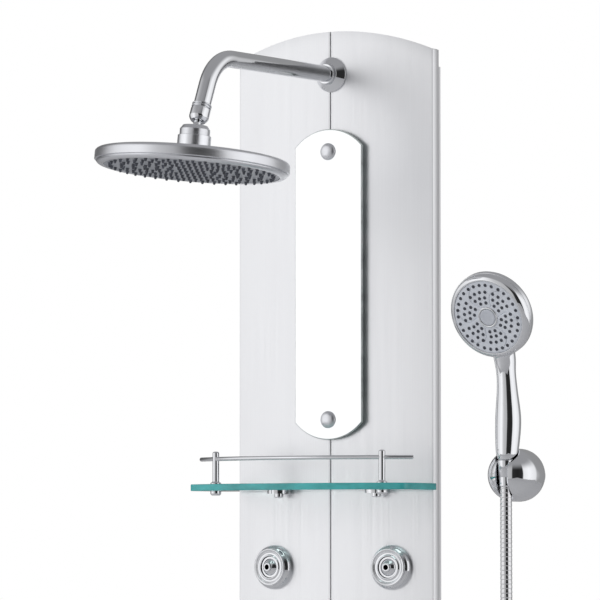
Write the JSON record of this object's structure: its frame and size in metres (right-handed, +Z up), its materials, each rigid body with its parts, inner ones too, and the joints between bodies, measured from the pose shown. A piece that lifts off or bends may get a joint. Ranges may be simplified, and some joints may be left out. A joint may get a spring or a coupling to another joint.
{
  "type": "rainfall shower column",
  "caption": "Wall-hung bowed shower column with a swivelling rain head, mirror, glass shelf, swivel body jets, mixer, diverter and a hand shower in a ball wall bracket.",
  "frame": {"origin": "centre of the four wall-screw holes, on the wall plane, at half the panel height", "axes": "+Z up, +Y into the wall, the user stands at -Y, +X to the user's right"},
  "size_m": [0.4498, 0.4654, 1.5592],
  "materials": {
    "satin_panel": "satin brushed, vertical grain",
    "frame_metal": "satin extruded",
    "bright_chrome": "polished chrome plate",
    "satin_head": "fine satin, turned",
    "spray_face": "matt grey spray face",
    "mirror_silver": "silvered back with a ground edge",
    "shelf_green": "clear float glass with a green edge",
    "jet_chrome": "chrome plate",
    "zinc_steel": "zinc plated sheet",
    "pipe_brass": "plain brass",
    "hose_steel": "interlocked stainless strip",
    "grey_plastic": "smooth grey"
  },
  "bodies": {
    "column": {"arm_flange": "bright_chrome", "arm_lock_nut": "pipe_brass", "arm_rings": "bright_chrome", "ball_stud": "bright_chrome", "bracket_ball": "bright_chrome", "bracket_base": "bright_chrome", "centre_strip": "frame_metal", "coupling_nut": "bright_chrome", "diverter_flange": "bright_chrome", "diverter_valve": "pipe_brass", "frame_spreaders": "frame_metal", "guard_rail": "bright_chrome", "handset_feed_pipe": "pipe_brass", "hook_bars": "zinc_steel", "hose": "hose_steel", "inlet_nuts": "pipe_brass", "jet_bezels": "jet_chrome", "jet_feed_pipe": "pipe_brass", "jet_lock_nuts": "pipe_brass", "jet_rings": "jet_chrome", "mirror_caps": "bright_chrome", "mirror_glass": "mirror_silver", "mirror_studs": "bright_chrome", "mixer_flange": "bright_chrome", "mixer_valve": "pipe_brass", "outlet_elbow": "bright_chrome", "outlet_hose_nut": "bright_chrome", "panel_left": "satin_panel", "panel_right": "satin_panel", "post_nuts": "bright_chrome", "rail_posts": "bright_chrome", "riser_pipe": "pipe_brass", "shelf_clips": "bright_chrome", "shelf_glass": "shelf_green", "shelf_screws": "bright_chrome", "shower_arm": "bright_chrome", "side_rail_left": "frame_metal", "side_rail_right": "frame_metal", "wall_hangers": "zinc_steel"},
    "head_cup": {"head_cup": "grey_plastic"},
    "rain_head": {"head_collar": "satin_head", "head_socket": "satin_head", "head_shell": "satin_head", "head_face": "spray_face"},
    "diverter_knob": {"diverter_knob": "bright_chrome"},
    "mixer_dome": {"mixer_dome": "bright_chrome"},
    "mixer_lever": {"mixer_lever": "bright_chrome"},
    "handset": {"handset_body": "bright_chrome", "handset_face": "spray_face", "handset_button": "grey_plastic", "handset_hose_nut": "bright_chrome"},
    "jet_socket_upper_left": {"jet_socket_upper_left": "jet_chrome"},
    "jet_nozzle_upper_left": {"jet_nozzle_upper_left": "jet_chrome"},
    "jet_socket_upper_right": {"jet_socket_upper_right": "jet_chrome"},
    "jet_nozzle_upper_right": {"jet_nozzle_upper_right": "jet_chrome"},
    "jet_socket_lower_left": {"jet_socket_lower_left": "jet_chrome"},
    "jet_nozzle_lower_left": {"jet_nozzle_lower_left": "jet_chrome"},
    "jet_socket_lower_right": {"jet_socket_lower_right": "jet_chrome"},
    "jet_nozzle_lower_right": {"jet_nozzle_lower_right": "jet_chrome"}
  },
  "joints": [
    {"name": "head_tilt", "type": "hinge", "parent": "column", "child": "head_cup", "pos_m": [0, -0.35019, 0.506], "axis": [1, 0, 0], "range_deg": [-30, 8]},
    {"name": "head_roll", "type": "hinge", "parent": "head_cup", "child": "rain_head", "pos_m": [0, -0.35019, 0.506], "axis": [0, -0.9968, 0.0802], "range_deg": [-12, 15]},
    {"name": "jet_pan_upper_left", "type": "hinge", "parent": "column", "child": "jet_socket_upper_left", "pos_m": [-0.08321, -0.05908, 0.008], "axis": [0, 0, 1], "range_deg": [-12, 12]},
    {"name": "jet_tilt_upper_left", "type": "hinge", "parent": "jet_socket_upper_left", "child": "jet_nozzle_upper_left", "pos_m": [-0.08321, -0.05908, 0.008], "axis": [0.9975, -0.07, 0], "range_deg": [-12, 12]},
    {"name": "jet_pan_upper_right", "type": "hinge", "parent": "column", "child": "jet_socket_upper_right", "pos_m": [0.08321, -0.05908, 0.008], "axis": [0, 0, 1], "range_deg": [-12, 12]},
    {"name": "jet_tilt_upper_right", "type": "hinge", "parent": "jet_socket_upper_right", "child": "jet_nozzle_upper_right", "pos_m": [0.08321, -0.05908, 0.008], "axis": [0.9975, 0.07, 0], "range_deg": [-12, 12]},
    {"name": "jet_pan_lower_left", "type": "hinge", "parent": "column", "child": "jet_socket_lower_left", "pos_m": [-0.08321, -0.05908, -0.35], "axis": [0, 0, 1], "range_deg": [-12, 12]},
    {"name": "jet_tilt_lower_left", "type": "hinge", "parent": "jet_socket_lower_left", "child": "jet_nozzle_lower_left", "pos_m": [-0.08321, -0.05908, -0.35], "axis": [0.9975, -0.07, 0], "range_deg": [-12, 12]},
    {"name": "jet_pan_lower_right", "type": "hinge", "parent": "column", "child": "jet_socket_lower_right", "pos_m": [0.08321, -0.05908, -0.35], "axis": [0, 0, 1], "range_deg": [-12, 12]},
    {"name": "jet_tilt_lower_right", "type": "hinge", "parent": "jet_socket_lower_right", "child": "jet_nozzle_lower_right", "pos_m": [0.08321, -0.05908, -0.35], "axis": [0.9975, 0.07, 0], "range_deg": [-12, 12]},
    {"name": "diverter_turn", "type": "hinge", "parent": "column", "child": "diverter_knob", "pos_m": [0, -0.075, -0.105], "axis": [0, -1, 0], "range_deg": [-90, 90]},
    {"name": "mixer_temperature", "type": "hinge", "parent": "column", "child": "mixer_dome", "pos_m": [0, -0.08, -0.23], "axis": [0, -1, 0], "range_deg": [-45, 45]},
    {"name": "mixer_flow", "type": "hinge", "parent": "mixer_dome", "child": "mixer_lever", "pos_m": [0, -0.082, -0.23], "axis": [-1, 0, 0], "range_deg": [0, 25]},
    {"name": "handset_lift", "type": "slide", "parent": "column", "child": "handset", "axis": [0, 0, 1], "range_m": [0, 0.09]}
  ]
}
